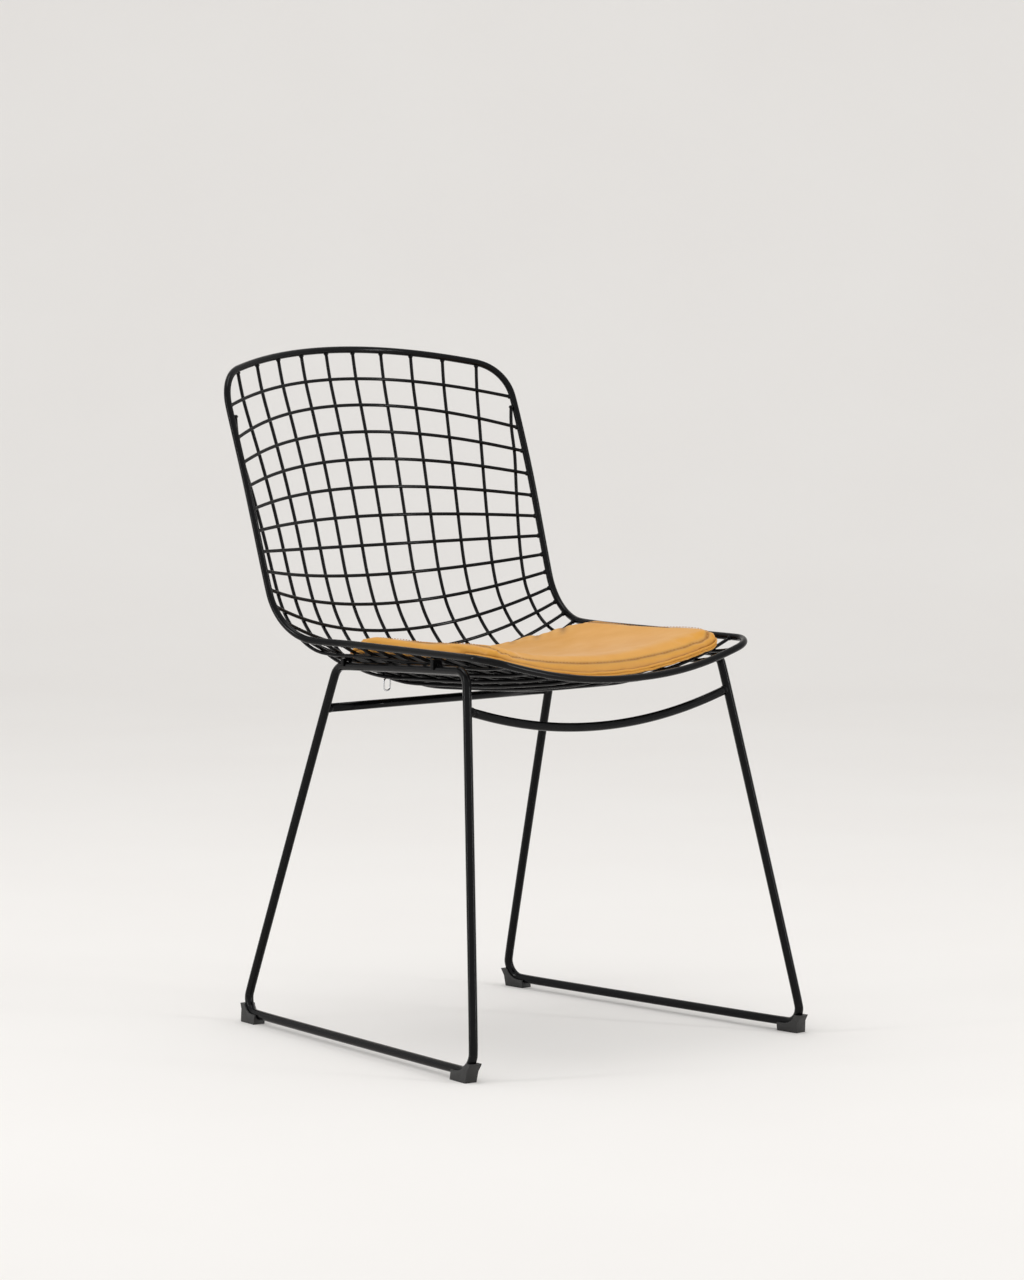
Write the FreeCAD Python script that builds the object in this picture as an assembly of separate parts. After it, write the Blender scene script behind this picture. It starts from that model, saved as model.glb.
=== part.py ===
# Wire mesh chair with a loose leather seat pad, on a bent rod base.
# Millimetres. X runs across the seat, the front faces -Y, Z is up and the floor is Z = 0.
# The origin lies on the floor, under the middle of the whole chair.
import FreeCAD
import Part
import math
import os

os.makedirs("parts", exist_ok=True)

V = FreeCAD.Vector

# Rods and wires
wire_d = 4.0
rim_d = 8.0
frame_d = 10.0
wire_sides = 8
rim_sides = 10
frame_sides = 12
weld_gap = 0.1
layer_gap = 0.15
chord_error = 0.25

# Rim of the shell, right half, from the top of the back down to the front edge
back_height = 766.2
back_top_y = 270.3
back_half_width = 213.1
back_bow_half = 94.0
back_corner_y = 215.9
back_corner_drop = 24.5
back_corner_radius = 52.0
back_waist_in = 0.8
back_waist_y = 170.8
back_waist_z = 623.6
back_waist_radius = 1300.0
rim_bend_in = 4.3
rim_bend_y = 115.5
rim_bend_radius = 76.0
seat_rim_z = 448.6
seat_rim_rise = 2.9
seat_pinch_half = 191.0
seat_pinch_y = 10.0
seat_pinch_radius = 180.0
seat_front_half = 199.0
seat_corner_y = -236.5
seat_corner_radius = 33.0
seat_front_y = -247.8
seat_front_z = 420.1
front_bow_half = 84.0
front_bow_radius = 520.0

# Middle of the shell, side on
spine_waist_y = 224.3
spine_waist_z = 639.4
spine_waist_radius = 2550.0
spine_bend_y = 159.6
spine_bend_z = 382.6
spine_bend_radius = 159.0
spine_seat_y = -108.9
spine_seat_z = 399.5
spine_seat_radius = 700.0

# Mesh
back_rows = 10
seat_rows = 12
first_row_spine = 35.7
row_step_spine_top = 31.9
row_step_spine_bend = 36.75
first_row_rim_z = 707.3
first_rim_step = 38.9
row_step_rim_top = 30.0
row_step_rim_bend = 19.1
last_row_rim_y = -199.5
half_wires = 6
wire_pitch_top = 39.8
wire_pitch_bend = 33.1
wire_pitch_front = 29.9
outer_wire_side_gap = 9.0
outer_wire_top_row = 1.3

# Base
foot_rear_half = 197.9
foot_rear_y = 193.2
foot_front_half = 245.2
foot_front_y = -274.6
rail_rear_half = 162.9
rail_rear_y = 66.6
rail_front_y = -190.3
rail_front_rise = 15.7
frame_bend_radius = 20.0
front_stretcher_share = 0.899
front_stretcher_sag = 29.7
rear_stretcher_share = 0.878
rest_gap = 0.05

# Glides under the feet
glide_floor = 5.4
glide_width = 15.0
glide_length = 34.0
glide_lip_height = 21.0
glide_wall = 2.8
glide_play = 0.15

# Tabs between the rails and the shell
tab_front_row = 20
tab_rear_row = 14
tab_width = 13.0
tab_depth = 5.0

# Seat pad
pad_rest_gap = 0.7
pad_front_y = -219.0
pad_rear_y = 92.0
pad_half_width = 174.0
pad_corner_front = 30.0
pad_corner_rear = 95.0
pad_edge = 18.0
pad_crown = 9.0
pad_side_bulge = 3.0
pad_draw_in = 5.0
pad_sections = 14
pad_half_steps = 7
pad_side_steps = 4

# Straps with hooks that hold the pad to the mesh
strap_after_row = 13
strap_column = 2
strap_width = 10.0
strap_thickness = 1.2
strap_drop = 4.0
hook_wire_d = 2.0
hook_width = 9.0
hook_height = 14.0


def lerp(a, b, t):
    return a + (b - a) * t


def polyline_length(points):
    return sum((b - a).Length for a, b in zip(points, points[1:]))


def point_along(points, distance):
    """The point at a distance along a polyline."""
    for a, b in zip(points, points[1:]):
        run = (b - a).Length
        if distance <= run or b is points[-1]:
            return a + (b - a) * (distance / run)
        distance -= run


def distance_to(points, value):
    """How far along a polyline a falling value, such as a height, passes a given one."""
    travelled = 0.0
    for (a, at_a), (b, at_b) in zip(points, points[1:]):
        if at_b <= value <= at_a and at_a > at_b:
            return travelled + (b - a).Length * (at_a - value) / (at_a - at_b)
        travelled += (b - a).Length


def rounded(corners):
    """Points along straight runs joined by tangent arcs. Each corner is a point and its radius."""
    points = [corners[0][0]]
    for before, corner, after in zip(corners, corners[1:], corners[2:]):
        here, radius = corner
        back = (before[0] - here).normalize()
        ahead = (after[0] - here).normalize()
        turn = math.pi - back.getAngle(ahead)
        reach = radius * math.tan(turn / 2)
        middle = here + (back + ahead).normalize() * (radius / math.cos(turn / 2))
        spoke_in = here + back * reach - middle
        axis = back.cross(ahead)
        count = max(2, math.ceil(turn / (2 * math.acos(1 - chord_error / radius))))
        for k in range(count + 1):
            spin = FreeCAD.Rotation(axis, -math.degrees(turn) * k / count)
            point = middle + spin.multVec(spoke_in)
            if (point - points[-1]).Length > 0.01:
                points.append(point)
    if (corners[-1][0] - points[-1]).Length > 0.01:
        points.append(corners[-1][0])
    return points


def tube_radius(diameter, sides):
    """Corner radius of the polygon that has the area of a round section."""
    area = math.pi * diameter * diameter / 4
    return math.sqrt(2 * area / (sides * math.sin(2 * math.pi / sides)))


def mitred_rings(path, radius, sides, flat_to, start, end):
    """Polygon sections along a path, each in the plane that halves the turn there."""
    along = (path[1] - path[0]).normalize()
    side = (flat_to - along * flat_to.dot(along)).normalize()
    other = along.cross(side)
    ring = []
    for k in range(sides):
        angle = 2 * math.pi * (k + 0.5) / sides
        ring.append(path[0] + side * (radius * math.cos(angle)) + other * (radius * math.sin(angle)))
    normals = [start or along]
    for a, b, c in zip(path, path[1:], path[2:]):
        normals.append(((b - a).normalize() + (c - b).normalize()).normalize())
    normals.append(end or (path[-1] - path[-2]).normalize())
    rings = []
    for i, normal in enumerate(normals):
        j = max(i, 1)
        run = (path[j] - path[j - 1]).normalize()
        ring = [q + run * ((path[i] - q).dot(normal) / run.dot(normal)) for q in ring]
        rings.append(ring)
    return rings


def skin(rings, closed):
    faces = []
    for a, b in zip(rings, rings[1:]):
        for k in range(len(a)):
            q = (k + 1) % len(a)
            faces.append(Part.Face(Part.makePolygon([a[k], a[q], b[q], b[k], a[k]])))
    if not closed:
        for ring in (rings[0], rings[-1]):
            faces.append(Part.Face(Part.makePolygon(ring + [ring[0]])))
    solid = Part.Solid(Part.makeShell(faces))
    if solid.Volume < 0:
        solid.reverse()
    return solid


def rod(path, diameter, sides, flat_to=V(0, 0, 1), start=None, end=None):
    """A bent rod. Start and end are the normals of its end faces, square ones if left out."""
    rings = mitred_rings(path, tube_radius(diameter, sides), sides, flat_to, start, end)
    return skin(rings, False)


def hoop(path, diameter, sides, flat_to):
    """A bent rod whose path ends where it starts."""
    seam = (path[1] - path[0]).normalize() + (path[-1] - path[-2]).normalize()
    seam.normalize()
    rings = mitred_rings(path, tube_radius(diameter, sides), sides, flat_to, seam, seam)
    rings[-1] = rings[0]
    return skin(rings, True)


def butt(point, inner, rod_along, rod_radius):
    """Where a rod from inner to point on another rod's axis stops, and the normal of its end."""
    run = (point - inner).normalize()
    square = (run - rod_along * run.dot(rod_along)).normalize()
    return point - run * ((rod_radius + weld_gap) / run.dot(square)), square


def mirrored(shape):
    return shape.mirror(V(0, 0, 0), V(1, 0, 0))


def flip(point):
    return V(-point.x, point.y, point.z)


def largest(shape):
    return max(shape.Solids, key=lambda solid: solid.Volume)


def save(name, shape):
    shape.exportStep("parts/" + name + ".step")


# Rim
def rim_half():
    bow = V(back_bow_half, back_top_y, back_height)
    top = V(back_half_width, back_corner_y, back_height - back_corner_drop)
    turn = (top - bow).getAngle(V(1, 0, 0))
    share = (seat_pinch_y - rim_bend_y) / (seat_corner_y - rim_bend_y)
    pinch_z = seat_rim_z + seat_rim_rise * share
    return rounded([
        (V(0, back_top_y, back_height), 0),
        (bow, back_bow_half / math.tan(turn / 2)),
        (top, back_corner_radius),
        (V(back_half_width - back_waist_in, back_waist_y, back_waist_z), back_waist_radius),
        (V(back_half_width - rim_bend_in, rim_bend_y, seat_rim_z), rim_bend_radius),
        (V(seat_pinch_half, seat_pinch_y, pinch_z), seat_pinch_radius),
        (V(seat_front_half, seat_corner_y, seat_rim_z + seat_rim_rise), seat_corner_radius),
        (V(front_bow_half, seat_front_y, seat_front_z), front_bow_radius),
        (V(0, seat_front_y, seat_front_z), 0),
    ])


rim_path = rim_half()
rim_loop = rim_path + [flip(p) for p in reversed(rim_path[:-1])]
rim_radius = tube_radius(rim_d, rim_sides)
save("rim_rod", hoop(rim_loop, rim_d, rim_sides, V(0, 0, 1)))


# Rows: where each cross wire passes the middle of the shell and where it meets the rim
spine = rounded([
    (V(0, back_top_y, back_height), 0),
    (V(0, spine_waist_y, spine_waist_z), spine_waist_radius),
    (V(0, spine_bend_y, spine_bend_z), spine_bend_radius),
    (V(0, spine_seat_y, spine_seat_z), spine_seat_radius),
    (V(0, seat_front_y, seat_front_z), 0),
])
spine_length = polyline_length(spine)
rows = back_rows + seat_rows
rim_heights = [(p, p.z) for p in rim_path]
rim_depths = [(p, p.y) for p in rim_path]
rim_first = distance_to(rim_heights, first_row_rim_z)
rim_last = distance_to(rim_depths, last_row_rim_y)


def spine_distance(row):
    steps = min(row, back_rows) - 1
    if steps < 0:
        return first_row_spine * row
    growth = (row_step_spine_bend - row_step_spine_top) / (2 * (back_rows - 1))
    distance = first_row_spine + row_step_spine_top * steps + growth * steps * steps
    if row > back_rows:
        share = (row - back_rows) / (seat_rows + 1)
        distance = lerp(distance, spine_length, share)
    return distance


def rim_distance(row):
    if row < 2:
        return rim_first + first_rim_step * (row - 1)
    steps = min(row, back_rows) - 2
    growth = (row_step_rim_bend - row_step_rim_top) / (2 * (back_rows - 2))
    distance = rim_first + first_rim_step + row_step_rim_top * steps + growth * steps * steps
    if row > back_rows:
        steps = row - back_rows
        bend = (rim_last - distance - row_step_rim_bend * seat_rows) / (seat_rows * seat_rows)
        distance += row_step_rim_bend * steps + bend * steps * steps
    return distance


def wire_pitch(row):
    if row > back_rows:
        return lerp(wire_pitch_bend, wire_pitch_front, (row - back_rows) / (seat_rows + 1))
    flare = (1 - row / back_rows) ** 2
    return lerp(wire_pitch_bend, wire_pitch_top, flare ** 0.85)


def shell_point(row, x):
    """A point of the shell. Each row is an arc through both rims and the middle of the shell."""
    middle = point_along(spine, spine_distance(row))
    edge = point_along(rim_path, rim_distance(row))
    chord = V(0, edge.y, edge.z)
    sag = (middle - chord).Length
    bend = (edge.x * edge.x + sag * sag) / (2 * sag)
    rise = bend - math.sqrt(bend * bend - x * x)
    return middle + V(x, 0, 0) - (middle - chord).normalize() * rise


def wire_x(row, k):
    edge = point_along(rim_path, rim_distance(row))
    return min((k + 0.5) * wire_pitch(row), edge.x - outer_wire_side_gap)


def crossing(row, k):
    """The crossing of a row with a lengthwise wire, and the direction away from the sitter there."""
    x = wire_x(row, k)
    here = shell_point(row, x)
    across = shell_point(row, x + 0.5) - shell_point(row, x - 0.5)
    along = shell_point(row + 0.05, wire_x(row + 0.05, k)) - shell_point(row - 0.05, wire_x(row - 0.05, k))
    return here, across.cross(along).normalize()


def rim_run(distance):
    ahead = point_along(rim_path, distance + 2.0)
    return (ahead - point_along(rim_path, distance - 2.0)).normalize()


# Cross wires, on the sitter's side
cross_paths = {}
for row in range(1, rows + 1):
    edge = point_along(rim_path, rim_distance(row))
    half = [shell_point(row, wire_x(row, k)) for k in range(half_wires)]
    stop, square = butt(edge, half[-1], rim_run(rim_distance(row)), rim_radius)
    path = half + [stop]
    path = [flip(p) for p in reversed(path)] + path
    cross_paths[row] = path
    flat = (path[1] - path[0]).cross(path[-1] - path[0])
    save("cross_wire_%02d" % row, rod(path, wire_d, wire_sides, flat, flip(square) * -1, square))


def rim_top_distance(x):
    """How far round the rim from the middle of its top bar that bar is x from the middle."""
    return distance_to([(p, -p.x) for p in rim_path], -x)


def rim_front_distance(x):
    backwards = [(p, -p.x) for p in reversed(rim_path)]
    return polyline_length(rim_path) - distance_to(backwards, -x)


# Lengthwise wires, behind and below the cross wires
layer = wire_d + layer_gap
long_paths = []
for k in range(half_wires):
    outer = k == half_wires - 1
    first = 2 if outer else 1
    steps = [float(row) for row in range(first, rows + 1)]
    steps += [row + 0.5 for row in range(back_rows - 1, back_rows + 3)]
    path = []
    for row in sorted(steps):
        here, away = crossing(row, k)
        path.append(here + away * layer)
    if outer:
        edge = point_along(rim_path, rim_distance(outer_wire_top_row))
        beside = rim_radius + tube_radius(wire_d, wire_sides) + weld_gap
        path.insert(0, edge - V(beside, 0, 0))
        start = None
    else:
        share = rim_top_distance((k + 0.5) * wire_pitch_top)
        edge = point_along(rim_path, share)
        stop, square = butt(edge, path[0], rim_run(max(share, 2.0)), rim_radius)
        path.insert(0, stop)
        start = square * -1
    share = rim_front_distance((k + 0.5) * wire_pitch_front)
    edge = point_along(rim_path, share)
    stop, square = butt(edge, path[-1], rim_run(share), rim_radius)
    path.append(stop)
    long_paths.append(path)
    wire = rod(path, wire_d, wire_sides, V(1, 0, 0), start, square)
    save("lengthwise_wire_r%d" % (k + 1), wire)
    save("lengthwise_wire_l%d" % (k + 1), mirrored(wire))

# Side frames: each one rod bent into a loop, with its top rail as high as the mesh allows
frame_radius = tube_radius(frame_d, frame_sides)
wire_radius = tube_radius(wire_d, wire_sides)
foot_z = glide_floor + frame_d / 2
foot_rear = V(foot_rear_half, foot_rear_y, foot_z)
foot_front = V(foot_front_half, foot_front_y, foot_z)


def rail_ends(height):
    rear = V(rail_rear_half, rail_rear_y, height)
    level = (foot_front - foot_rear).cross(rear - foot_rear)
    run = rail_front_y - rail_rear_y
    front_x = rail_rear_half - (level.y * run + level.z * rail_front_rise) / level.x
    return rear, V(front_x, rail_front_y, height + rail_front_rise)


def rail_height():
    """Raise the rail towards the mesh until it rests against the wires above it."""
    wires = [Part.makePolygon(path) for path in long_paths[half_wires // 2:]]
    wires += [Part.makePolygon(path) for row, path in cross_paths.items() if row > back_rows + 2]
    height = spine_bend_z - 40.0
    for _ in range(14):
        rail = Part.makeLine(*rail_ends(height))
        gap = min(rail.distToShape(wire)[0] for wire in wires)
        height += gap - frame_radius - wire_radius - rest_gap
    return height


rail_rear, rail_front = rail_ends(rail_height())
frame_level = (foot_front - foot_rear).cross(rail_rear - foot_rear).normalize()
foot_middle = (foot_front + foot_rear) * 0.5
frame_path = rounded([
    (foot_middle, 0),
    (foot_front, frame_bend_radius),
    (rail_front, frame_bend_radius),
    (rail_rear, frame_bend_radius),
    (foot_rear, frame_bend_radius),
    (foot_middle, 0),
])
side_frame = hoop(frame_path, frame_d, frame_sides, frame_level)
save("side_frame_right", side_frame)
save("side_frame_left", mirrored(side_frame))

# Stretchers between the side frames
leg_front = (rail_front - foot_front).normalize()
leg_rear = (rail_rear - foot_rear).normalize()
front_joint = foot_front + (rail_front - foot_front) * front_stretcher_share
rear_joint = foot_rear + (rail_rear - foot_rear) * rear_stretcher_share
bow = (front_joint.x ** 2 + front_stretcher_sag ** 2) / (2 * front_stretcher_sag)
half_turn = math.asin(front_joint.x / bow)
pieces = math.ceil(half_turn / math.acos(1 - chord_error / bow))
bow_middle = front_joint + V(-front_joint.x, 0, bow - front_stretcher_sag)
path = []
for k in range(pieces + 1):
    angle = half_turn * (2 * k / pieces - 1)
    path.append(bow_middle + V(bow * math.sin(angle), 0, -bow * math.cos(angle)))
stop, square = butt(path[-1], path[-2], leg_front, frame_radius)
path[0] = flip(stop)
path[-1] = stop
stretcher = rod(path, frame_d, frame_sides, V(0, 1, 0), flip(square) * -1, square)
save("front_stretcher", stretcher)
stop, square = butt(rear_joint, flip(rear_joint), leg_rear, frame_radius)
stretcher = rod([flip(stop), stop], frame_d, frame_sides, V(0, 1, 0), flip(square) * -1, square)
save("rear_stretcher", stretcher)


# Glides: a block under the rail and a lip up the outside of the bend
def glide(foot, other_foot, leg):
    along = (other_foot - foot).normalize()
    across = along.cross(leg).normalize()
    up = across.cross(along)
    turn = math.pi - along.getAngle(leg)
    middle = foot + (along + leg).normalize() * (frame_bend_radius / math.cos(turn / 2))
    inner = rounded([
        (foot + along * glide_length, 0),
        (foot, frame_bend_radius),
        (foot + leg * 3 * glide_lip_height, 0),
    ])
    grow = (frame_bend_radius + frame_radius + glide_wall) / frame_bend_radius
    outer = [middle + (p - middle) * grow for p in inner[1:-1]]
    outer = outer[len(outer) // 2:]
    outer.append(inner[-1] + outer[-1] - inner[-2])
    floor = up * (-2 * foot_z)
    heel = outer[0] + along * glide_wall
    heel = heel + floor - up * (heel - foot).dot(up)
    profile = [heel] + outer + list(reversed(inner)) + [foot + along * glide_length + floor]
    block = Part.Face(Part.makePolygon(profile + [heel])).extrude(across * glide_width)
    block.translate(across * (-glide_width / 2))
    keep = Part.makeBox(200, 200, glide_lip_height, V(foot.x - 100, foot.y - 100, 0))
    channel = [foot + along * 2 * glide_length] + inner[1:-1] + [foot + leg * 5 * glide_lip_height]
    groove = rod(channel, frame_d + 2 * glide_play, frame_sides, frame_level)
    return largest(block.common(keep).cut(groove))


front_glide = glide(foot_front, foot_rear, leg_front)
rear_glide = glide(foot_rear, foot_front, leg_rear)
save("glide_front_right", front_glide)
save("glide_front_left", mirrored(front_glide))
save("glide_rear_right", rear_glide)
save("glide_rear_left", mirrored(rear_glide))


# Tabs that carry the shell on the rails, one under a cross wire at each corner
def tab(row):
    path = cross_paths[row]
    run = rail_front - rail_rear
    under = rail_rear
    for _ in range(8):
        wire = shell_point(row, under.x)
        under = rail_rear + run * ((wire.y - rail_rear.y) / run.y)
    low = V(under.x - tab_width / 2, under.y - tab_depth / 2, under.z)
    block = Part.makeBox(tab_width, tab_depth, wire.z - wire_d / 4 - under.z, low)
    rail = rod([rail_rear, rail_front], frame_d + 2 * glide_play, frame_sides, frame_level)
    flat = (path[1] - path[0]).cross(path[-1] - path[0])
    wire = rod(path, wire_d + 2 * glide_play, wire_sides, flat)
    return largest(block.cut(rail).cut(wire))


for name, row in (("front", tab_front_row), ("rear", tab_rear_row)):
    block = tab(row)
    save("shell_tab_" + name + "_right", block)
    save("shell_tab_" + name + "_left", mirrored(block))


# Seat pad: its underside follows the shell, its top is crowned and its corners are round
def shell_height(x, y):
    low, high = float(back_rows), float(rows + 1)
    for _ in range(30):
        row = (low + high) / 2
        if shell_point(row, x).y > y:
            low = row
        else:
            high = row
    return shell_point(low, x).z


def pad_under(x, y):
    slope = (shell_height(x + 1, y) - shell_height(x - 1, y)) / 2
    return shell_height(x, y) + (wire_radius + pad_rest_gap) * math.sqrt(1 + slope * slope)


def pad_half(y):
    half = pad_half_width - pad_draw_in * math.sin(math.pi * (y - pad_front_y) / (pad_rear_y - pad_front_y))
    for inset, corner in ((y - pad_front_y, pad_corner_front), (pad_rear_y - y, pad_corner_rear)):
        short = max(0.0, min(corner, corner - inset))
        half -= corner - math.sqrt(corner * corner - short * short)
    return half


def pad_section(y, fullness):
    """Right half of a section, from the middle of the underside round the side to the crown."""
    half = pad_half(y)
    edge = pad_edge * lerp(0.9, 1, fullness)
    xs = [half * k / pad_half_steps for k in range(pad_half_steps + 1)]
    under = [V(x, y, pad_under(x, y)) for x in xs]
    points = list(under)
    for k in range(1, pad_side_steps):
        share = k / pad_side_steps
        swell = pad_side_bulge * math.sin(math.pi * share)
        points.append(under[-1] + V(swell, 0, edge * share))
    for low in reversed(under):
        crown = pad_crown * fullness * (1 - (low.x / half) ** 2)
        points.append(low + V(0, 0, edge + crown))
    return points


sections = []
for k in range(pad_sections + 1):
    turn = math.pi * k / pad_sections
    y = lerp(pad_front_y, pad_rear_y, (1 - math.cos(turn)) / 2)
    right = pad_section(y, math.sqrt(abs(math.sin(turn))))
    sections.append(right + [flip(p) for p in reversed(right[1:-1])])
faces = []
for a, b in zip(sections, sections[1:]):
    for k in range(len(a)):
        q = (k + 1) % len(a)
        faces.append(Part.Face(Part.makePolygon([a[k], a[q], b[q], a[k]])))
        faces.append(Part.Face(Part.makePolygon([a[k], b[q], b[k], a[k]])))
for section in (sections[0], sections[-1]):
    faces.append(Part.Face(Part.makePolygon(section + [section[0]])))
save("seat_pad", Part.Solid(Part.makeShell(faces)))

# Straps and hooks that hold the pad, each through an opening of the mesh
strap_row = strap_after_row + 0.5
strap_x = (wire_x(strap_row, strap_column) + wire_x(strap_row, strap_column + 1)) / 2
strap_y = shell_point(strap_row, strap_x).y
strap_top = pad_under(strap_x - strap_width / 2, strap_y) - weld_gap
strap_foot = V(strap_x, strap_y, strap_top - strap_drop)
corner = V(strap_x - strap_width / 2, strap_y - strap_thickness / 2, strap_foot.z)
strap = Part.makeBox(strap_width, strap_thickness, strap_drop, corner)
save("pad_strap_right", strap)
save("pad_strap_left", mirrored(strap))
hook_radius = tube_radius(hook_wire_d, wire_sides)
hook_top = strap_foot - V(0, 0, hook_radius + weld_gap)
wide = V(hook_width / 2, 0, 0)
tall = V(0, 0, -hook_height)
hook_path = rounded([
    (hook_top, 0),
    (hook_top + wide, hook_width * 0.4),
    (hook_top + wide + tall, hook_width * 0.4),
    (hook_top - wide + tall, hook_width * 0.4),
    (hook_top - wide, hook_width * 0.4),
    (hook_top, 0),
])
hook = hoop(hook_path, hook_wire_d, wire_sides, V(0, 1, 0))
save("strap_hook_right", hook)
save("strap_hook_left", mirrored(hook))
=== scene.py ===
# %% [markdown]
# A wire mesh chair with a loose leather seat pad, dressed over its CAD model.
# The CAD solids are polygons with few sides. This script rounds the rods, adds the welds,
# sews and stuffs the pad, and gives every piece the finish of the real one.

# %% Load the CAD model
import math

import bmesh
import bpy
from mathutils import Matrix, Vector, noise
from mathutils.bvhtree import BVHTree
from mathutils.kdtree import KDTree


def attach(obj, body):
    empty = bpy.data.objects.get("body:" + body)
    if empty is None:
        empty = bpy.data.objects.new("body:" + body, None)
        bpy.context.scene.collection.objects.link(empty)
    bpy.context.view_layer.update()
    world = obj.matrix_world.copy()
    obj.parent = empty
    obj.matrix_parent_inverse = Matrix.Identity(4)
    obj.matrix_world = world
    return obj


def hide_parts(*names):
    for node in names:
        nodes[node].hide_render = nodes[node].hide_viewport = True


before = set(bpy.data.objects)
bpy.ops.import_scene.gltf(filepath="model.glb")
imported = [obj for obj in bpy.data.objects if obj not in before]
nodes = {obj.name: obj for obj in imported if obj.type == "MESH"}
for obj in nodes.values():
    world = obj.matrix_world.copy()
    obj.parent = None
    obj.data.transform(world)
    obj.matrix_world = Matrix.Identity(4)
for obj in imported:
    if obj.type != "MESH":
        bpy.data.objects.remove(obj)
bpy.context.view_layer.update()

MM = 0.001
print("CAD nodes:", len(nodes))

# %% [markdown]
# The camera stands in front of the chair and to the left as one faces it, far back with a
# long lens, as product photographs are taken. The long lens keeps the verticals straight.
# Its place and angle were worked out from the chair's own mirror pairs. The plain view
# transform keeps black paint black and the leather's ochre strong.

# %% Camera
camera_data = bpy.data.cameras.new("product_camera")
camera_data.lens = 170.199
camera_data.sensor_width = 36.0
camera_data.sensor_fit = "HORIZONTAL"
camera_data.clip_end = 60.0
camera = bpy.data.objects.new("product_camera", camera_data)
camera.location = (-3.5518, -4.1993, 0.9699)
camera.rotation_euler = [math.radians(angle) for angle in (84.5348, -0.3078, -40.5122)]
bpy.context.scene.collection.objects.link(camera)
bpy.context.scene.camera = camera
bpy.context.scene.view_settings.view_transform = "Standard"

# %% [markdown]
# A pale paper sweep is the studio's floor and background in one. It is a flat sheet that
# curves up behind the chair, so no edge or horizon shows. A profile is drawn in two straight
# runs, the corner between them is bevelled round, and the profile is extruded sideways.

# %% Colours and shader nodes
def linear(hex_colour):
    """An sRGB hex colour as the linear colour that shaders use."""
    channels = [int(hex_colour[i:i + 2], 16) / 255 for i in (1, 3, 5)]
    return [c / 12.92 if c <= 0.04045 else ((c + 0.055) / 1.055) ** 2.4 for c in channels] + [1.0]


def add_node(material, kind, settings, inputs):
    """Add a shader node with its settings. An input is given a value, or another node's output."""
    tree = material.node_tree
    node = tree.nodes.new(kind)
    for name, value in settings.items():
        setattr(node, name, value)
    for name, value in inputs.items():
        if isinstance(value, bpy.types.NodeSocket):
            tree.links.new(value, node.inputs[name])
        else:
            node.inputs[name].default_value = value
    return node


def new_material(name):
    """An empty material, and the coordinates that its patterns read."""
    material = bpy.data.materials.new(name)
    material.use_nodes = True
    material.node_tree.nodes.clear()
    place = add_node(material, "ShaderNodeTexCoord", {}, {}).outputs["Object"]
    return material, place


def finish_material(material, shader):
    add_node(material, "ShaderNodeOutputMaterial", {}, {"Surface": shader.outputs["BSDF"]})
    return material


# %% Paper sweep
sweep_paper, place = new_material("matt background paper")
fibre = add_node(sweep_paper, "ShaderNodeTexNoise", {}, {"Vector": place, "Scale": 1 / (400 * MM)})
tone = add_node(sweep_paper, "ShaderNodeMix", {"data_type": "RGBA"}, {
    0: fibre.outputs["Fac"], 6: linear("#F1EEEB"), 7: linear("#F4F2EF")})
paper_shader = add_node(sweep_paper, "ShaderNodeBsdfPrincipled", {}, {
    "Base Color": tone.outputs[2], "Roughness": 0.85, "Specular IOR Level": 0.15})
finish_material(sweep_paper, paper_shader)

sweep_near, sweep_far, sweep_high, sweep_half, sweep_bend = 9.0, 6.5, 7.0, 11.0, 3.0
away = Vector((-camera.location.x, -camera.location.y, 0)).normalized()
sideways = Vector((-away.y, away.x, 0))
bm = bmesh.new()
near_edge, corner = away * -sweep_near, away * sweep_far
top_edge = corner + Vector((0, 0, sweep_high))
profile = [bm.verts.new(point - sideways * sweep_half) for point in (near_edge, corner, top_edge)]
edges = [bm.edges.new(profile[i:i + 2]) for i in range(2)]
bmesh.ops.bevel(bm, geom=[profile[1]], offset=sweep_bend, affect="VERTICES", segments=16,
                profile=0.5, material=-1)
swept = bmesh.ops.extrude_edge_only(bm, edges=bm.edges[:])
bmesh.ops.translate(bm, vec=sideways * 2 * sweep_half, verts=[
    item for item in swept["geom"] if isinstance(item, bmesh.types.BMVert)])
bmesh.ops.recalc_face_normals(bm, faces=bm.faces[:])
sweep_mesh = bpy.data.meshes.new("paper_sweep")
bm.to_mesh(sweep_mesh)
bm.free()
sweep_mesh.materials.append(sweep_paper)
sweep_mesh.polygons.foreach_set("use_smooth", [True] * len(sweep_mesh.polygons))
sweep = bpy.data.objects.new("paper_sweep", sweep_mesh)
bpy.context.scene.collection.objects.link(sweep)

# %% [markdown]
# Black gloss paint only reads as gloss if something bright is reflected in it. Two upright
# strip lights, 70 degrees to each side of the camera, put a thin pale streak on each side of
# every upright rod. A box overhead does the same for the level ones, and an even dome of
# light keeps the shadows on the floor faint.

# %% Lights
chair_middle = Vector((0, 0, 0.45))


def soft_box(name, at, width, height, watts):
    """A rectangular area light that faces the middle of the chair."""
    data = bpy.data.lights.new(name, "AREA")
    data.shape = "RECTANGLE"
    data.size = width
    data.size_y = height
    data.energy = watts
    lamp = bpy.data.objects.new(name, data)
    lamp.location = at
    aim = chair_middle - Vector(at)
    lamp.rotation_euler = aim.to_track_quat("-Z", "Y").to_euler()
    bpy.context.scene.collection.objects.link(lamp)


soft_box("left_strip", (-3.28, 1.21, 1.5), 0.18, 2.2, 26)
soft_box("right_strip", (1.74, -3.04, 1.5), 0.18, 2.2, 26)
soft_box("overhead_light", (-0.3, 0.3, 3.2), 1.2, 1.2, 14)

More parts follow.
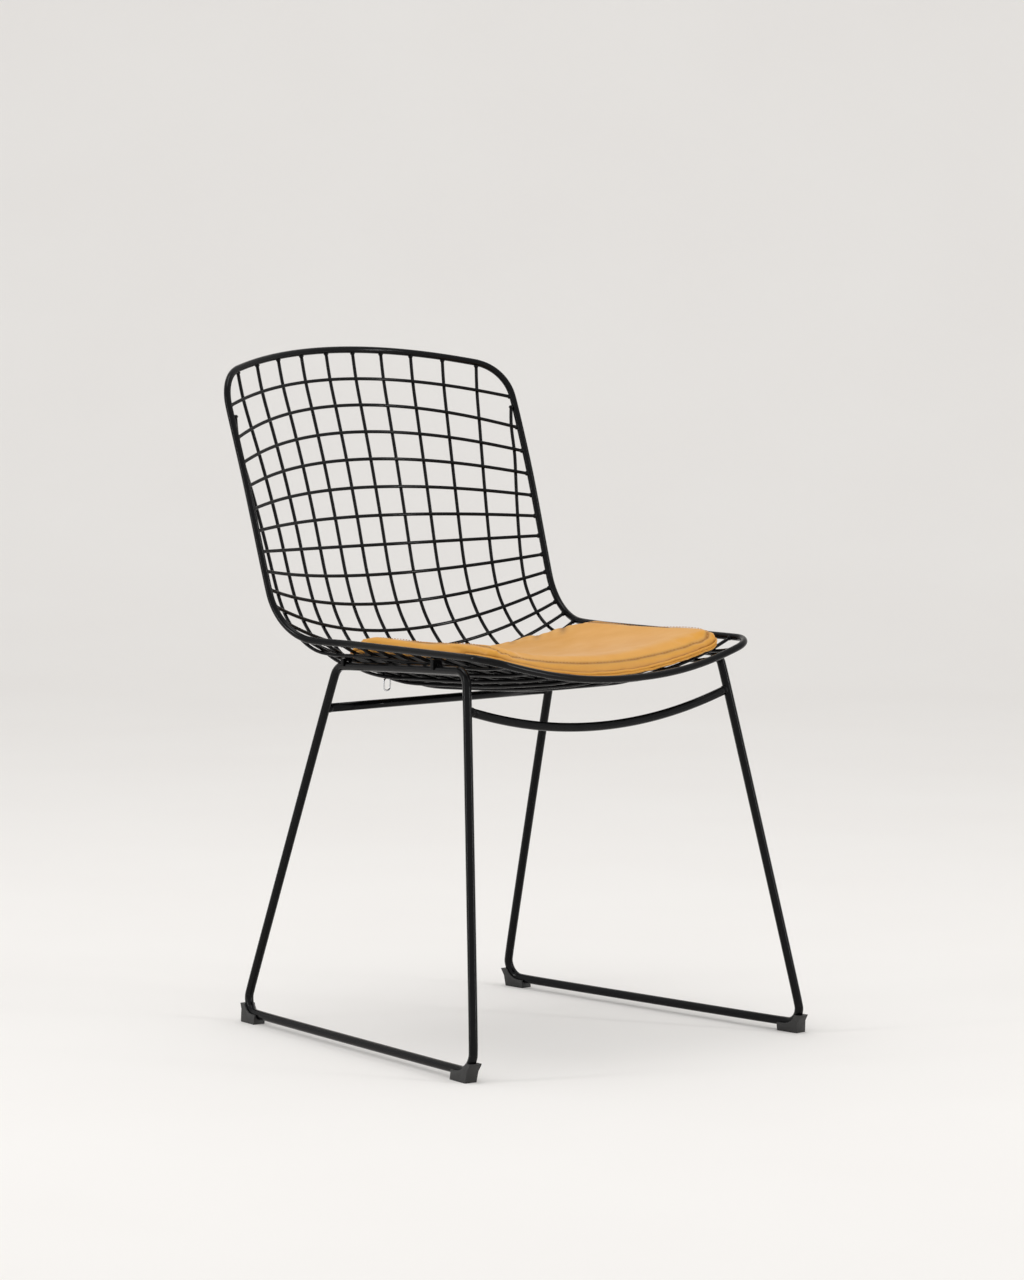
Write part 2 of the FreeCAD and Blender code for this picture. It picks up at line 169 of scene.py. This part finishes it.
world = bpy.data.worlds.new("studio_dome")
world.use_nodes = True
dome = world.node_tree.nodes["Background"]
dome.inputs["Color"].default_value = linear("#FFFFFF")
dome.inputs["Strength"].default_value = 0.82
bpy.context.scene.world = world

# %% [markdown]
# The rods are steel with a gloss black powder coat. The coat is baked on as a powder that
# melts, so it shows a faint orange peel. It is nearly black, and its shine carries all of its
# shape. The peel is about 1.5 mm across, and where hands and clothes rub, the gloss is duller.

# %% Powder-coated steel
black_coat, place = new_material("gloss black powder coat")
rubbed = add_node(black_coat, "ShaderNodeTexNoise", {}, {
    "Vector": place, "Scale": 1 / (35 * MM), "Detail": 3.0})
gloss = add_node(black_coat, "ShaderNodeMapRange", {}, {
    "Value": rubbed.outputs["Fac"], "From Min": 0.3, "From Max": 0.7, "To Min": 0.11, "To Max": 0.19})
tone = add_node(black_coat, "ShaderNodeMix", {"data_type": "RGBA"}, {
    0: rubbed.outputs["Fac"], 6: linear("#060607"), 7: linear("#0C0C0D")})
peel = add_node(black_coat, "ShaderNodeTexNoise", {}, {"Vector": place, "Scale": 1 / (1.5 * MM)})
peel_bump = add_node(black_coat, "ShaderNodeBump", {}, {
    "Strength": 0.12, "Distance": 0.05 * MM, "Height": peel.outputs["Fac"]})
coat_shader = add_node(black_coat, "ShaderNodeBsdfPrincipled", {}, {
    "Base Color": tone.outputs[2], "Roughness": gloss.outputs["Result"],
    "Specular IOR Level": 0.14, "Normal": peel_bump.outputs["Normal"]})
finish_material(black_coat, coat_shader)

# %% [markdown]
# Every rod in the CAD model is a tube of flat faces. Here each one is copied, its loose
# triangles are merged and paired into four-sided faces, and a subdivision surface rounds it.
# A curve with a round bevel would do as well, but the copy keeps the model's exact route.
# That surface shrinks a little, so the copy is first swollen until its radius is the real one.
# The edges round each end are creased, which keeps the ends flat and as long as they were.

# %% Rounding a rod
def put(name, mesh, material, replaced=()):
    """Place a finished mesh as a piece of the chair, in place of its CAD nodes."""
    mesh.materials.clear()
    mesh.materials.append(material)
    mesh.polygons.foreach_set("use_smooth", [True] * len(mesh.polygons))
    piece = bpy.data.objects.new(name, mesh)
    bpy.context.scene.collection.objects.link(piece)
    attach(piece, "root")
    if replaced:
        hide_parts(*replaced)
    return piece


def merged_copy(node):
    """A copy of a CAD node's mesh, with its loose triangles merged."""
    bm = bmesh.new()
    bm.from_mesh(nodes[node].data)
    bmesh.ops.remove_doubles(bm, verts=bm.verts, dist=0.01 * MM)
    return bm


def rod_ends(bm):
    """The edges round each flat end of a rod, as a list of loops."""
    side_angle = math.radians(47.5)
    rims = {edge for edge in bm.edges if edge.calc_face_angle(0) > side_angle}
    loops = []
    while rims:
        loop, waiting = [], [rims.pop()]
        while waiting:
            edge = waiting.pop()
            loop.append(edge)
            touching = {other for vert in edge.verts for other in vert.link_edges} & rims
            rims -= touching
            waiting.extend(touching)
        loops.append(loop)
    return loops


wire_radius, frame_radius = 2 * MM, 5 * MM
wire_swell, rim_swell, frame_swell, hook_swell = 0.109 * MM, 0.138 * MM, 0.117 * MM, 0.055 * MM
weld_spots = []


def round_rod(node, swell, material=black_coat, weld=0.0):
    """Round a CAD rod. Where weld is given, note both ends for weld beads of that radius."""
    bm = merged_copy(node)
    bmesh.ops.join_triangles(bm, faces=bm.faces[:], angle_face_threshold=math.radians(3),
                             angle_shape_threshold=math.radians(60))
    crease = bm.edges.layers.float.new("crease_edge")
    loops = rod_ends(bm)
    for loop in loops:
        corners = {vert for edge in loop for vert in edge.verts}
        for edge in loop:
            edge[crease] = 1.0
        centre = sum((vert.co for vert in corners), Vector()) / len(corners)
        if weld:
            cap = [face for face in bm.faces if set(face.verts) <= corners]
            along = sum((face.normal * face.calc_area() for face in cap), Vector()).normalized()
            weld_spots.append((centre, along, weld))
    for vert in bm.verts:
        vert.co += vert.normal * swell
    mesh = bpy.data.meshes.new(node + "_round")
    bm.to_mesh(mesh)
    bm.free()
    piece = put(node + "_round", mesh, material, (node,))
    surface = piece.modifiers.new("round", "SUBSURF")
    surface.levels = 2
    surface.render_levels = 2
    return piece


# %% Mesh shell and rim
round_rod("rim_rod", rim_swell)
mesh_wires = sorted(name for name in nodes if name.startswith(("cross_wire", "lengthwise_wire")))
for node in mesh_wires:
    round_rod(node, wire_swell, weld=1.45 * wire_radius)
print("wires in the mesh:", len(mesh_wires))

# %% Base
for node in ("side_frame_left", "side_frame_right"):
    round_rod(node, frame_swell)
for node in ("front_stretcher", "rear_stretcher"):
    round_rod(node, frame_swell, weld=1.12 * frame_radius)

# %% [markdown]
# Each wire is welded to the rim, and each stretcher to the legs. A weld leaves a small smooth
# collar of metal under the paint, which is what makes the joint look grown rather than butted.
# One flattened ball at each noted rod end gives that collar. Joining the rods' meshes and
# rounding the joints would show the same and cost far more. All the balls are one mesh.

# %% Weld collars
weld_sunk, weld_flat = 0.1, 0.75
bm = bmesh.new()
for centre, along, radius in weld_spots:
    turn = along.to_track_quat("Z", "Y").to_matrix().to_4x4()
    flatten = Matrix.Diagonal((1, 1, weld_flat, 1))
    seat = Matrix.Translation(centre - along * radius * weld_sunk) @ turn @ flatten
    bmesh.ops.create_uvsphere(bm, u_segments=14, v_segments=9, radius=radius, matrix=seat)
weld_mesh = bpy.data.meshes.new("weld_collars")
bm.to_mesh(weld_mesh)
bm.free()
put("weld_collars", weld_mesh, black_coat)
print("weld collars:", len(weld_spots))

# %% [markdown]
# The glides are injection-moulded nylon, dull black with a fine spark-eroded grain. The tabs
# that carry the shell are cut steel bar under the same paint as the rods. Both shapes are
# already right in the CAD model, so they only need the small round edges that moulding and
# deburring leave, which catch a thin line of light.

# %% Moulded nylon
nylon, place = new_material("moulded black nylon")
grain = add_node(nylon, "ShaderNodeTexVoronoi", {}, {"Vector": place, "Scale": 1 / (0.8 * MM)})
scuff = add_node(nylon, "ShaderNodeTexNoise", {}, {
    "Vector": place, "Scale": 1 / (6 * MM), "Detail": 4.0})
tone = add_node(nylon, "ShaderNodeMix", {"data_type": "RGBA"}, {
    0: scuff.outputs["Fac"], 6: linear("#131313"), 7: linear("#242322")})
dull = add_node(nylon, "ShaderNodeMapRange", {}, {
    "Value": scuff.outputs["Fac"], "From Min": 0.3, "From Max": 0.7, "To Min": 0.42, "To Max": 0.6})
grain_bump = add_node(nylon, "ShaderNodeBump", {}, {
    "Strength": 0.25, "Distance": 0.06 * MM, "Height": grain.outputs["Distance"]})
nylon_shader = add_node(nylon, "ShaderNodeBsdfPrincipled", {}, {
    "Base Color": tone.outputs[2], "Roughness": dull.outputs["Result"], "IOR": 1.53,
    "Normal": grain_bump.outputs["Normal"]})
finish_material(nylon, nylon_shader)


# %% Rounding the edges of a block
def soften(node, width, material):
    """Copy a CAD block and round its sharp edges."""
    bm = merged_copy(node)
    bmesh.ops.dissolve_limit(bm, angle_limit=math.radians(1), verts=bm.verts[:], edges=bm.edges[:])
    mesh = bpy.data.meshes.new(node + "_soft")
    bm.to_mesh(mesh)
    bm.free()
    piece = put(node + "_soft", mesh, material, (node,))
    edge_round = piece.modifiers.new("soft_edges", "BEVEL")
    edge_round.width = width
    edge_round.segments = 3
    edge_round.limit_method = "ANGLE"
    edge_round.angle_limit = math.radians(40)
    edge_round.harden_normals = True
    return piece


for node in sorted(nodes):
    if node.startswith("glide"):
        soften(node, 0.7 * MM, nylon)
    if node.startswith("shell_tab"):
        soften(node, 0.4 * MM, black_coat)

# %% [markdown]
# The pad is covered in aniline-dyed cowhide, mustard to ochre. The dye lets the hide's own
# clouding show, about 40 mm across, and the surface has a soft pebble grain. The real grain is
# near 1 mm. It is drawn at 2.2 mm here, because anything finer is lost at this distance. Shade is
# painted in as a darker tone along the seams, cords and folds, and a highlight is painted in as a
# paler tone on the ridges.

# %% Leather
def leather(name, light, deep, painted_shade_tone, painted_highlight_tone):
    """Dyed leather, with painted shade where the mesh's shade value is high and a painted highlight
    where its highlight value is.
    """
    material, place = new_material(name)
    cloud = add_node(material, "ShaderNodeTexNoise", {}, {
        "Vector": place, "Scale": 1 / (40 * MM), "Detail": 4.0, "Roughness": 0.55})
    hide = add_node(material, "ShaderNodeMix", {"data_type": "RGBA"}, {
        0: cloud.outputs["Fac"], 6: linear(light), 7: linear(deep)})
    # A painted highlight: the ridges beside the folds and stitches are mixed towards a paler tone, as
    # if light caught them.
    ridge_and_highlight = add_node(material, "ShaderNodeAttribute", {"attribute_name": "ridge_and_highlight"}, {})
    painted_highlight_mix = add_node(material, "ShaderNodeMix", {"data_type": "RGBA"}, {
        0: ridge_and_highlight.outputs["Fac"], 6: hide.outputs[2], 7: linear(painted_highlight_tone)})
    # Painted shade: the seams, cords and folds are mixed towards a dark tone, as if shade lay in
    # them.
    seam_shade = add_node(material, "ShaderNodeAttribute", {"attribute_name": "seam_shade"}, {})
    painted_shade_mix = add_node(material, "ShaderNodeMix", {"data_type": "RGBA"}, {
        0: seam_shade.outputs["Fac"], 6: painted_highlight_mix.outputs[2], 7: linear(painted_shade_tone)})
    polish = add_node(material, "ShaderNodeMapRange", {}, {
        "Value": cloud.outputs["Fac"], "From Min": 0.3, "From Max": 0.7,
        "To Min": 0.40, "To Max": 0.52})
    pebble = add_node(material, "ShaderNodeTexVoronoi", {"feature": "SMOOTH_F1"}, {
        "Vector": place, "Scale": 1 / (2.2 * MM), "Smoothness": 0.6})
    crease = add_node(material, "ShaderNodeTexNoise", {}, {
        "Vector": place, "Scale": 1 / (6 * MM), "Detail": 5.0, "Distortion": 0.8})
    relief = add_node(material, "ShaderNodeMath", {"operation": "MULTIPLY_ADD"}, {
        0: crease.outputs["Fac"], 1: 0.8, 2: pebble.outputs["Distance"]})
    bump = add_node(material, "ShaderNodeBump", {}, {
        "Strength": 0.22, "Distance": 0.25 * MM, "Height": relief.outputs[0]})
    shader = add_node(material, "ShaderNodeBsdfPrincipled", {}, {
        "Base Color": painted_shade_mix.outputs[2], "Roughness": polish.outputs["Result"], "IOR": 1.45,
        "Sheen Weight": 0.08, "Sheen Roughness": 0.4, "Normal": bump.outputs["Normal"]})
    return finish_material(material, shader)


# It gives the seat its one warm colour, with clouding and grain that show it is hide.
# Its last two colours are the painted shade in the seams, cords and folds, and the painted highlight
# on the ridges.
pad_leather = leather("ochre cowhide", "#E0A23C", "#CF8E2A", "#6E3F06", "#EDBE70")
# It is the same hide, thicker and more handled, so a shade deeper.
# Its painted shade and painted highlight colours do not show, since the straps carry neither value.
strap_leather = leather("ochre strap leather", "#CE8D2E", "#BC7B22", "#8F560F", "#D9A04A")

# %% [markdown]
# The underside of the cover is a black woven lining, so that the pad doesn't show through the
# mesh from below. Its threads are 0.9 mm apart, and it carries a little pale lint.

# %% Lining cloth
base_cloth, place = new_material("black woven lining")
weave = add_node(base_cloth, "ShaderNodeTexWave", {}, {
    "Vector": place, "Scale": 1 / (2.8 * MM), "Distortion": 1.5})
lint = add_node(base_cloth, "ShaderNodeTexNoise", {}, {
    "Vector": place, "Scale": 1 / (5 * MM), "Detail": 4.0})
tone = add_node(base_cloth, "ShaderNodeMix", {"data_type": "RGBA"}, {
    0: lint.outputs["Fac"], 6: linear("#0D0D0D"), 7: linear("#1B1A19")})
weave_bump = add_node(base_cloth, "ShaderNodeBump", {}, {
    "Strength": 0.3, "Distance": 0.1 * MM, "Height": weave.outputs["Fac"]})
lining_shader = add_node(base_cloth, "ShaderNodeBsdfPrincipled", {}, {
    "Base Color": tone.outputs[2], "Roughness": 0.85, "Sheen Weight": 0.1,
    "Normal": weave_bump.outputs["Normal"]})
finish_material(base_cloth, lining_shader)

# %% [markdown]
# The pad is a foam slab in a sewn cover. In the CAD model it is a plain block with the right
# outline, lying on the dished mesh. Its outline is read from there first: each cross section
# has a lower and an upper corner on each side. The seams and the cords follow these corners.

# %% Pad outline
side_bulge = 3 * MM
side_band = 0.93
corner_clear = 4 * MM


def pad_outline(share):
    """A ring of points round the pad at a share of its height, anticlockwise from above."""
    sections = {}
    for vert in nodes["seat_pad"].data.vertices:
        sections.setdefault(round(vert.co.y, 5), []).append(vert.co.copy())
    depths = sorted(sections)
    sides = []
    for depth in depths:
        reach = max(point.x for point in sections[depth])
        band = [point for point in sections[depth] if point.x > side_band * reach]
        low = min(band, key=lambda point: point.z)
        high = max(band, key=lambda point: point.z)
        bulge = side_bulge * math.sin(math.pi * share)
        sides.append(low.lerp(high, share) + Vector((bulge, 0, 0)))

    def across(depth, corner):
        columns = {}
        for point in sections[depth]:
            if abs(point.x) < corner.x - corner_clear:
                columns.setdefault(round(point.x, 4), []).append(point.z)
        return [Vector((x, depth, min(heights) + (max(heights) - min(heights)) * share))
                for x, heights in sorted(columns.items())]

    front = across(depths[0], sides[0])
    rear = across(depths[-1], sides[-1])
    left = [Vector((-point.x, point.y, point.z)) for point in reversed(sides)]
    return front + sides + rear[::-1] + left


def closed_curve(name, points, kind, radius=0.0):
    """The mesh of a closed curve through points: a bare line, or a cord of that radius."""
    data = bpy.data.curves.new(name, "CURVE")
    data.dimensions = "3D"
    data.resolution_u = 8
    data.bevel_depth = radius
    data.bevel_resolution = 3
    spline = data.splines.new(kind)
    spline.points.add(len(points) - 1)
    for curve_point, point in zip(spline.points, points):
        curve_point.co = (*point, 1)
    spline.use_cyclic_u = True
    spline.order_u = 3
    carrier = bpy.data.objects.new(name, data)
    bpy.context.scene.collection.objects.link(carrier)
    bpy.context.view_layer.update()
    mesh = bpy.data.meshes.new_from_object(carrier)
    bpy.data.objects.remove(carrier)
    bpy.data.curves.remove(data)
    return mesh


def smooth_ring(points):
    """Points along a smooth closed curve that a ring of corner points pulls into shape."""
    line = closed_curve("ring", points, "NURBS")
    ring = [vert.co.copy() for vert in line.vertices]
    bpy.data.meshes.remove(line)
    return ring


def even_steps(ring, step):
    """Points a fixed step apart round a closed ring, each with its direction."""
    runs = [(b - a).length for a, b in zip(ring, ring[1:] + ring[:1])]
    count = round(sum(runs) / step)
    pitch = sum(runs) / count
    spots, travelled, i = [], 0.0, 0
    for k in range(count):
        while travelled + runs[i] < k * pitch:
            travelled += runs[i]
            i += 1
        a, b = ring[i], ring[(i + 1) % len(ring)]
        spots.append((a.lerp(b, (k * pitch - travelled) / runs[i]), (b - a).normalized()))
    return spots


# %% [markdown]
# Foam swells the cover between its seams. Sculpting by hand could give that shape too, but a
# cloth simulation gives it the even tension of a stuffed cover. The block is first rebuilt
# from even 4.5 mm squares and drawn in a little, then blown up from inside. Its underside is
# pinned, because it rests on the wires, and no point may travel further than a firm cushion
# would. One subdivision then makes it fine enough for seams and folds.

# %% Stuff the pad
pad_squares = 4.5 * MM
pad_draw_in = 1.6 * MM
pad_travel = 4.5 * MM
underside = -0.6
cloth_frames = 20
bm = merged_copy("seat_pad")
bmesh.ops.recalc_face_normals(bm, faces=bm.faces[:])
pad_mesh = bpy.data.meshes.new("seat_cushion")
bm.to_mesh(pad_mesh)
bm.free()
cushion = bpy.data.objects.new("seat_cushion_work", pad_mesh)
bpy.context.scene.collection.objects.link(cushion)
squares = cushion.modifiers.new("squares", "REMESH")
squares.mode = "VOXEL"
squares.voxel_size = pad_squares
bpy.context.view_layer.update()
graph = bpy.context.evaluated_depsgraph_get()
cushion.data = bpy.data.meshes.new_from_object(cushion.evaluated_get(graph))
cushion.modifiers.clear()

normals = [vert.normal.copy() for vert in cushion.data.vertices]
rests = [vert.index for vert in cushion.data.vertices if normals[vert.index].z < underside]
resting = set(rests)
for vert in cushion.data.vertices:
    if vert.index not in resting:
        vert.co -= normals[vert.index] * pad_draw_in
start = [vert.co.copy() for vert in cushion.data.vertices]

cushion.vertex_groups.new(name="rests").add(rests, 1.0, "REPLACE")
cloth = cushion.modifiers.new("cloth", "CLOTH")
cloth.settings.use_pressure = True
cloth.settings.uniform_pressure_force = 4.0
cloth.settings.vertex_group_mass = "rests"
cloth.settings.effector_weights.gravity = 0
for step in range(1, cloth_frames + 1):
    bpy.context.scene.frame_set(step)
graph = bpy.context.evaluated_depsgraph_get()
swollen = [vert.co.copy() for vert in cushion.evaluated_get(graph).data.vertices]
cushion.modifiers.clear()
bpy.context.scene.frame_set(1)
for vert, before, after in zip(cushion.data.vertices, start, swollen):
    move = after - before
    if move.length > pad_travel:
        move *= pad_travel / move.length
    vert.co = before + move
furthest = max((after - before).length for before, after in zip(start, swollen))
print("free swelling:", round(furthest / MM, 1), "mm, held to", round(pad_travel / MM, 1))

finer = cushion.modifiers.new("finer", "SUBSURF")
finer.levels = 1
finer.render_levels = 1
bpy.context.view_layer.update()
graph = bpy.context.evaluated_depsgraph_get()
pad_mesh = bpy.data.meshes.new_from_object(cushion.evaluated_get(graph))
bpy.data.objects.remove(cushion)
print("cushion faces:", len(pad_mesh.polygons))


# %% [markdown]
# Two thin cords run round the lower edge of the cover, where its side meets its base, and a
# row of topstitching holds the seam allowance flat, 9 mm in from the upper edge. Each line is
# laid on the stuffed cushion, and the leather is pulled in along it. Round its two rear
# corners, where the pad turns up the dish, the cover is too long and gathers in short folds.

# %% Seams and folds in the cushion
stitch_inset = 9 * MM
cord_radius = 1.5 * MM
cord_heights = (0.14, 0.36)
surface = BVHTree.FromPolygons([vert.co for vert in pad_mesh.vertices],
                               [face.vertices[:] for face in pad_mesh.polygons])


def laid_on(points, lift):
    """Move points to the nearest place on the cushion, lifted off it."""
    laid = []
    for point in points:
        place_on, normal, _, _ = surface.find_nearest(point)
        laid.append(place_on + normal * lift)
    return laid


cord_lines = [laid_on(smooth_ring(pad_outline(share)), 0.3 * cord_radius)
              for share in cord_heights]
up = Vector((0, 0, 1))
stitch_line = []
for point, run in even_steps(smooth_ring(pad_outline(1.0)), 2.5 * MM):
    inward = up.cross(run).normalized()
    above = point + inward * stitch_inset + up * 100 * MM
    place_on, normal, _, _ = surface.ray_cast(above, -up)
    if place_on:
        stitch_line.append(place_on)


def nearness(lines, width):
    """How near each point of the cushion is to some lines: 1 on them, fading over a width."""
    marks = [point for line in lines for point in line]
    tree = KDTree(len(marks))
    for i, point in enumerate(marks):
        tree.insert(point, i)
    tree.balance()
    return [math.exp(-(tree.find(vert.co)[2] / width) ** 2) for vert in pad_mesh.vertices]


# Folds, in mm: where each starts, from the middle and towards the back, its reach and depth.
folds = [((70, 84), 34, 1.2), ((104, 75), 40, 1.4), ((130, 60), 44, 1.6), ((152, 40), 50, 2.0)]
fold_run = Vector((-0.65, -0.76))
fold_half_width, fold_start = 4.0, 12.0
stitch_depth, cord_depth, ridge_height = 1.5, 1.2, 0.4
pucker_depth, pucker_pitch = 0.25, 13 * MM
wave_depth, wave_size = 0.5, 55 * MM


def share_of(value):
    """A value held between 0 and 1."""
    return min(1.0, max(0.0, value))


by_stitches = nearness([stitch_line], 3.0 * MM)
by_cords = nearness(cord_lines, 2.6 * MM)
normals = [vert.normal.copy() for vert in pad_mesh.vertices]
painted_shade_values, painted_highlight_values = [], []
for vert, normal, stitched, corded in zip(pad_mesh.vertices, normals, by_stitches, by_cords):
    mirrored = Vector((abs(vert.co.x), vert.co.y)) / MM
    fold = ridge_and_highlight = 0.0
    for at, reach, depth in folds:
        reached = mirrored - Vector(at)
        along, off = reached.dot(fold_run), reached.cross(fold_run)
        fade = share_of(1 - along / reach) * share_of(1 + along / fold_start) * max(0.0, normal.z)
        fold += depth * fade * math.exp(-(off / fold_half_width) ** 2)
        ridge_and_highlight += fade * math.exp(-((abs(off) - 2 * fold_half_width) / fold_half_width) ** 2)
    turn = 2 * math.pi * (vert.co.x + vert.co.y) / pucker_pitch
    pucker = pucker_depth * corded * math.sin(turn)
    wave = wave_depth * noise.noise(vert.co / wave_size) * max(0.0, normal.z)
    sink = stitch_depth * stitched + cord_depth * corded + fold - ridge_height * ridge_and_highlight
    vert.co += normal * ((pucker + wave - sink) * MM)
    # The first value paints shade into the leather along stitches, cords and folds; the second paints
    # a highlight beside folds and stitches.
    painted_shade_values.append(min(1.0, 0.6 * stitched + 0.85 * corded + 0.4 * fold))
    painted_highlight_values.append(min(1.0, 0.5 * ridge_and_highlight + 1.2 * stitched * (1 - stitched)))

for name, values in (("seam_shade", painted_shade_values), ("ridge_and_highlight", painted_highlight_values)):
    attribute = pad_mesh.attributes.new(name, "FLOAT", "POINT")
    attribute.data.foreach_set("value", values)
pad = put("seat_cushion", pad_mesh, pad_leather, ("seat_pad",))
pad_mesh.materials.append(base_cloth)
lined = -0.5
for face in pad_mesh.polygons:
    face.material_index = 1 if face.normal.z < lined else 0


# %% [markdown]
# The cords are narrow strips of the same leather, folded round a core of string. Each is a
# closed curve with a round bevel, turned into a mesh so that its place is in its points.

# %% Cords round the cushion
cord_step = 4 * MM
for name, line in zip(("lower_edge_cord", "upper_edge_cord"), cord_lines):
    spaced = [point for point, _ in even_steps(line, cord_step)]
    cord = closed_curve(name, spaced, "POLY", cord_radius)
    put(name, cord, pad_leather)

# %% [markdown]
# The stitches are bonded nylon thread, a shade darker than the hide, about 4 mm long with
# 1 mm of leather between them. Each is a small stretched ball, half sunk in its groove.

# %% Thread
thread, place = new_material("bonded nylon thread")
twist = add_node(thread, "ShaderNodeTexWave", {"bands_direction": "DIAGONAL"}, {
    "Vector": place, "Scale": 1 / (3 * MM)})
tone = add_node(thread, "ShaderNodeMix", {"data_type": "RGBA"}, {
    0: twist.outputs["Fac"], 6: linear("#A8701E"), 7: linear("#C68A33")})
thread_shader = add_node(thread, "ShaderNodeBsdfPrincipled", {}, {
    "Base Color": tone.outputs[2], "Roughness": 0.5, "Sheen Weight": 0.2})
finish_material(thread, thread_shader)

# %% Topstitching
stitch_length, stitch_pitch, thread_radius = 4.0 * MM, 5.0 * MM, 0.45 * MM
stitch_sunk = 0.35 * MM
bm = bmesh.new()
spots = even_steps(stitch_line, stitch_pitch)
for point, run in spots:
    _, normal, _, _ = surface.find_nearest(point)
    side = normal.cross(run).normalized()
    turn = Matrix((run, side, run.cross(side))).transposed().to_4x4()
    stretch = Matrix.Diagonal((stitch_length / 2, thread_radius, thread_radius, 1))
    sunk = Matrix.Translation(point - normal * stitch_sunk)
    bmesh.ops.create_icosphere(bm, subdivisions=1, radius=1.0, matrix=sunk @ turn @ stretch)
stitch_mesh = bpy.data.meshes.new("topstitching")
bm.to_mesh(stitch_mesh)
bm.free()
put("topstitching", stitch_mesh, thread)
print("stitches:", len(spots))

# %% [markdown]
# Two short leather straps hang from the pad through the mesh, and each ends in a bent wire
# hook that catches the wires. The hooks are spring wire, plated with bright chrome, which has
# fine polishing marks and no colour of its own.

# %% Chrome
chrome, place = new_material("bright chrome plate")
marks = add_node(chrome, "ShaderNodeTexNoise", {}, {
    "Vector": place, "Scale": 1 / (1.2 * MM), "Detail": 3.0})
shine = add_node(chrome, "ShaderNodeMapRange", {}, {
    "Value": marks.outputs["Fac"], "From Min": 0.3, "From Max": 0.7, "To Min": 0.10, "To Max": 0.24})
chrome_shader = add_node(chrome, "ShaderNodeBsdfPrincipled", {}, {
    "Base Color": linear("#DADBDD"), "Metallic": 1.0, "Roughness": shine.outputs["Result"]})
finish_material(chrome, chrome_shader)

# %% Straps and hooks
for side in ("left", "right"):
    soften("pad_strap_" + side, 0.35 * MM, strap_leather)
    round_rod("strap_hook_" + side, hook_swell, chrome)
